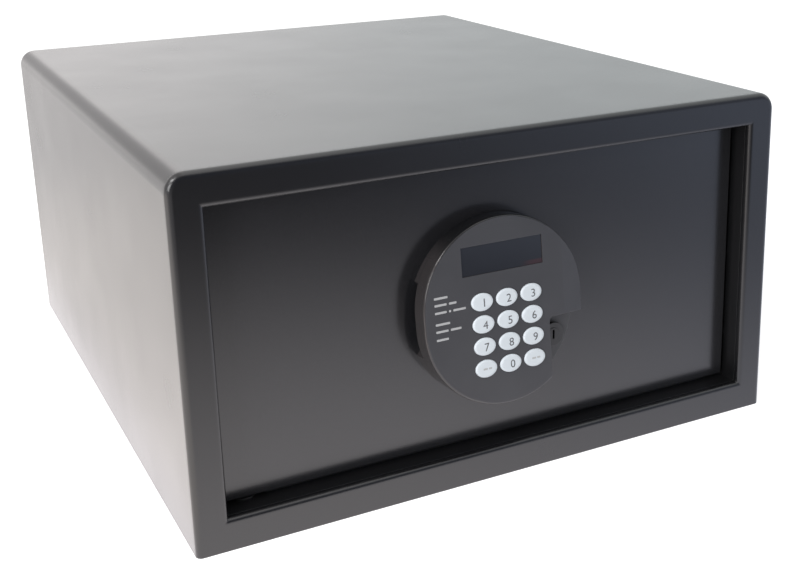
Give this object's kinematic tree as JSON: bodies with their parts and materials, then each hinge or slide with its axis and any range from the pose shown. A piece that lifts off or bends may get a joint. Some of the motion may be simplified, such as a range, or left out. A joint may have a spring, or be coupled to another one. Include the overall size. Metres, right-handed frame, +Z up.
{
  "type": "electronic safe",
  "caption": "Steel box safe with a recessed side-hung door, an oval keypad housing, motor-driven bolts, a key override and anchor holes in floor and back.",
  "frame": {"origin": "centre of the body's underside", "axes": "+X to the right as the door is faced, +Y to the back, +Z up"},
  "size_m": [0.42, 0.4902, 0.232],
  "materials": {
    "body_paint": "black powder coat, semi-gloss",
    "bush_polymer": "turned black acetal",
    "gear_brass": "machined brass",
    "plated_steel": "zinc plated",
    "bolt_steel": "nickel plated, polished",
    "lock_black": "black coated, satin",
    "motor_steel": "drawn steel can",
    "housing_plastic": "moulded, fine satin texture",
    "window_plastic": "smoked, polished",
    "display_plastic": "black with digit fields",
    "board_green": "solder mask",
    "sheet_rubber": "moulded silicone",
    "key_plastic": "white, satin",
    "tray_plastic": "moulded, fine texture",
    "cell_jacket": "printed sleeve, plain",
    "guide_nylon": "natural nylon",
    "reset_red": "red",
    "mat_felt": "needled felt"
  },
  "bodies": {
    "body": {"outer_shell": "body_paint", "base_plate": "body_paint", "back_panel": "body_paint", "front_frame": "body_paint", "door_jamb": "body_paint", "hinge_plates": "body_paint", "hinge_bushes": "bush_polymer", "keeper_plate": "plated_steel", "floor_mat": "mat_felt"},
    "door": {"door_plate": "body_paint", "hinge_lugs": "body_paint", "hinge_pins": "plated_steel", "door_pan": "body_paint", "rear_cover": "body_paint", "cover_screws": "plated_steel", "lock_base": "housing_plastic", "lock_face": "housing_plastic", "base_screws": "plated_steel", "face_screws": "plated_steel", "display_window": "window_plastic", "display_module": "display_plastic", "keypad_board": "board_green", "key_mat": "sheet_rubber", "override_barrel": "lock_black", "override_nut": "plated_steel", "battery_tray": "tray_plastic", "battery_contacts": "plated_steel", "batteries": "cell_jacket", "control_board": "board_green", "door_studs": "plated_steel", "gear_motor": "motor_steel", "motor_bracket": "plated_steel", "motor_screws": "plated_steel", "bolt_guides": "guide_nylon", "guide_studs": "plated_steel"},
    "bolts": {"bolt_bar": "plated_steel", "lock_bolts": "bolt_steel", "bolt_nuts": "plated_steel"},
    "drive": {"pinion": "gear_brass"},
    "override": {"override_plug": "lock_black", "override_cam": "plated_steel", "cam_screw": "plated_steel"},
    "reset": {"reset_button": "reset_red"},
    "battery_lid": {"battery_cover": "tray_plastic"},
    "key_1": {"key_1": "key_plastic"},
    "key_2": {"key_2": "key_plastic"},
    "key_3": {"key_3": "key_plastic"},
    "key_4": {"key_4": "key_plastic"},
    "key_5": {"key_5": "key_plastic"},
    "key_6": {"key_6": "key_plastic"},
    "key_7": {"key_7": "key_plastic"},
    "key_8": {"key_8": "key_plastic"},
    "key_9": {"key_9": "key_plastic"},
    "key_clear": {"key_clear": "key_plastic"},
    "key_0": {"key_0": "key_plastic"},
    "key_enter": {"key_enter": "key_plastic"}
  },
  "joints": [
    {"name": "door_swing", "type": "hinge", "parent": "body", "child": "door", "pos_m": [-0.1735, -0.2155, 0.1155], "axis": [0, 0, -1], "range_deg": [0, 100]},
    {"name": "bolt_throw", "type": "slide", "parent": "door", "child": "bolts", "axis": [1, 0, 0], "range_m": [0, 0.014]},
    {"name": "pinion_spin", "type": "hinge", "parent": "door", "child": "drive", "pos_m": [0.1065, -0.2016, 0.08828], "axis": [0, 1, 0], "range_deg": [0, 115]},
    {"name": "override_turn", "type": "hinge", "parent": "door", "child": "override", "pos_m": [0.035, -0.2, 0.08928], "axis": [0, -1, 0], "range_deg": [-90, 0]},
    {"name": "reset_press", "type": "slide", "parent": "door", "child": "reset", "axis": [0, -1, 0], "range_m": [0, 0.0015], "stiffness_N_per_m": 300},
    {"name": "battery_cover_slide", "type": "slide", "parent": "door", "child": "battery_lid", "axis": [1, 0, 0], "range_m": [0, 0.055]},
    {"name": "key_1_press", "type": "slide", "parent": "door", "child": "key_1", "axis": [0, 0.9945, -0.1045], "range_m": [0, 0.0012], "stiffness_N_per_m": 300},
    {"name": "key_2_press", "type": "slide", "parent": "door", "child": "key_2", "axis": [0, 0.9945, -0.1045], "range_m": [0, 0.0012], "stiffness_N_per_m": 300},
    {"name": "key_3_press", "type": "slide", "parent": "door", "child": "key_3", "axis": [0, 0.9945, -0.1045], "range_m": [0, 0.0012], "stiffness_N_per_m": 300},
    {"name": "key_4_press", "type": "slide", "parent": "door", "child": "key_4", "axis": [0, 0.9945, -0.1045], "range_m": [0, 0.0012], "stiffness_N_per_m": 300},
    {"name": "key_5_press", "type": "slide", "parent": "door", "child": "key_5", "axis": [0, 0.9945, -0.1045], "range_m": [0, 0.0012], "stiffness_N_per_m": 300},
    {"name": "key_6_press", "type": "slide", "parent": "door", "child": "key_6", "axis": [0, 0.9945, -0.1045], "range_m": [0, 0.0012], "stiffness_N_per_m": 300},
    {"name": "key_7_press", "type": "slide", "parent": "door", "child": "key_7", "axis": [0, 0.9945, -0.1045], "range_m": [0, 0.0012], "stiffness_N_per_m": 300},
    {"name": "key_8_press", "type": "slide", "parent": "door", "child": "key_8", "axis": [0, 0.9945, -0.1045], "range_m": [0, 0.0012], "stiffness_N_per_m": 300},
    {"name": "key_9_press", "type": "slide", "parent": "door", "child": "key_9", "axis": [0, 0.9945, -0.1045], "range_m": [0, 0.0012], "stiffness_N_per_m": 300},
    {"name": "key_clear_press", "type": "slide", "parent": "door", "child": "key_clear", "axis": [0, 0.9945, -0.1045], "range_m": [0, 0.0012], "stiffness_N_per_m": 300},
    {"name": "key_0_press", "type": "slide", "parent": "door", "child": "key_0", "axis": [0, 0.9945, -0.1045], "range_m": [0, 0.0012], "stiffness_N_per_m": 300},
    {"name": "key_enter_press", "type": "slide", "parent": "door", "child": "key_enter", "axis": [0, 0.9945, -0.1045], "range_m": [0, 0.0012], "stiffness_N_per_m": 300}
  ],
  "couplings": [
    {"joint": "pinion_spin", "follows": "bolt_throw", "rad_per_m": 142.86}
  ]
}
